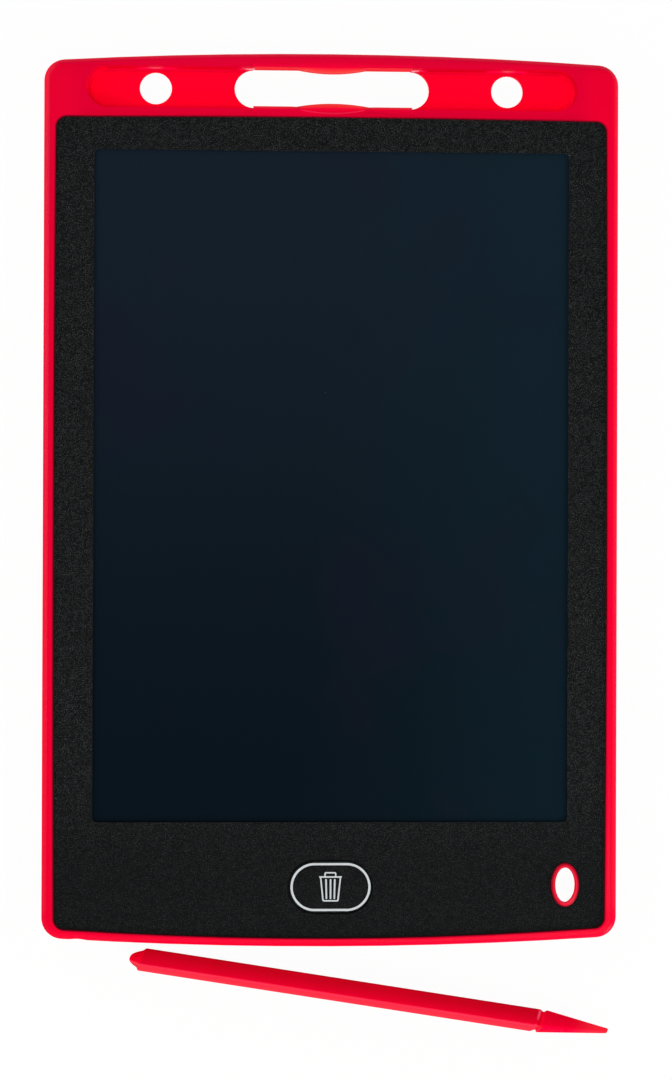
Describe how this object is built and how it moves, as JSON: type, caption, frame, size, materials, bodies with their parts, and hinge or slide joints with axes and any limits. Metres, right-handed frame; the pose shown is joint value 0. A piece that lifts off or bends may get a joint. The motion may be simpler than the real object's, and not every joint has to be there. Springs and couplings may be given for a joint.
{
  "type": "lcd writing tablet",
  "caption": "Slim handheld pressure-writing tablet with a framed display, pen tray, erase key, lanyard eyelet and a loose moulded stylus.",
  "frame": {"origin": "middle of the flat back face of the tablet, which lies on its back", "axes": "+X across the tablet to the eyelet's side, +Y along it to the pen tray, +Z out of the display"},
  "size_m": [0.145, 0.2475, 0.0075],
  "materials": {
    "red_plastic": "red injection-moulded plastic, semi-gloss, slightly translucent",
    "stylus_plastic": "red moulded plastic, semi-gloss",
    "overlay_film": "black film with a fine-grained surface",
    "display": "dark blue-green display laminate, satin",
    "tape": "double-sided tape",
    "board": "glass-fibre board with green solder mask",
    "resin": "black moulded resin",
    "ceramic": "tan ceramic",
    "plated_steel": "nickel-plated steel",
    "print_ink": "light grey screen-printed ink",
    "tail_film": "amber polyimide film",
    "foam": "closed-cell foam",
    "white_plastic": "natural white moulded plastic"
  },
  "bodies": {
    "tablet": {"back_cover": "red_plastic", "front_case": "red_plastic", "lcd_adhesive": "tape", "lcd_panel": "display", "overlay_adhesive": "tape", "front_overlay": "overlay_film", "tact_switch_base": "plated_steel", "circuit_board": "board", "board_screw_1": "plated_steel", "board_screw_2": "plated_steel", "driver_chip": "resin", "boost_inductor": "resin", "capacitor_1": "ceramic", "capacitor_2": "ceramic", "capacitor_3": "ceramic", "resistor_1": "resin", "resistor_2": "resin", "resistor_3": "resin", "resistor_4": "resin", "diode_1": "resin", "diode_2": "resin", "slide_switch_body": "plated_steel", "lcd_tail": "tail_film", "coin_cell": "plated_steel", "battery_minus_contact": "plated_steel", "battery_plus_contact": "plated_steel"},
    "erase_key": {"erase_pad": "overlay_film", "erase_plunger": "white_plastic", "tact_stem": "resin"},
    "lock": {"lock_slider": "red_plastic", "slide_switch_lever": "resin"},
    "battery_lid": {"battery_door": "red_plastic", "door_foam_pad": "foam", "battery_door_screw": "plated_steel"},
    "stylus_body": {"stylus": "stylus_plastic"}
  },
  "joints": [
    {"name": "erase_press", "type": "slide", "parent": "tablet", "child": "erase_key", "axis": [0, 0, -1], "range_m": [0, 0.0003], "stiffness_N_per_m": 1000},
    {"name": "lock_slide", "type": "slide", "parent": "tablet", "child": "lock", "axis": [1, 0, 0], "range_m": [0, 0.003]},
    {"name": "battery_door_swing", "type": "hinge", "parent": "tablet", "child": "battery_lid", "pos_m": [-0.022, -0.0965, 0], "axis": [0, -1, 0], "range_deg": [0, 80]},
    {"name": "stylus_lift", "type": "slide", "parent": "tablet", "child": "stylus_body", "axis": [0, 0, 1], "range_m": [0, 0.03]}
  ]
}
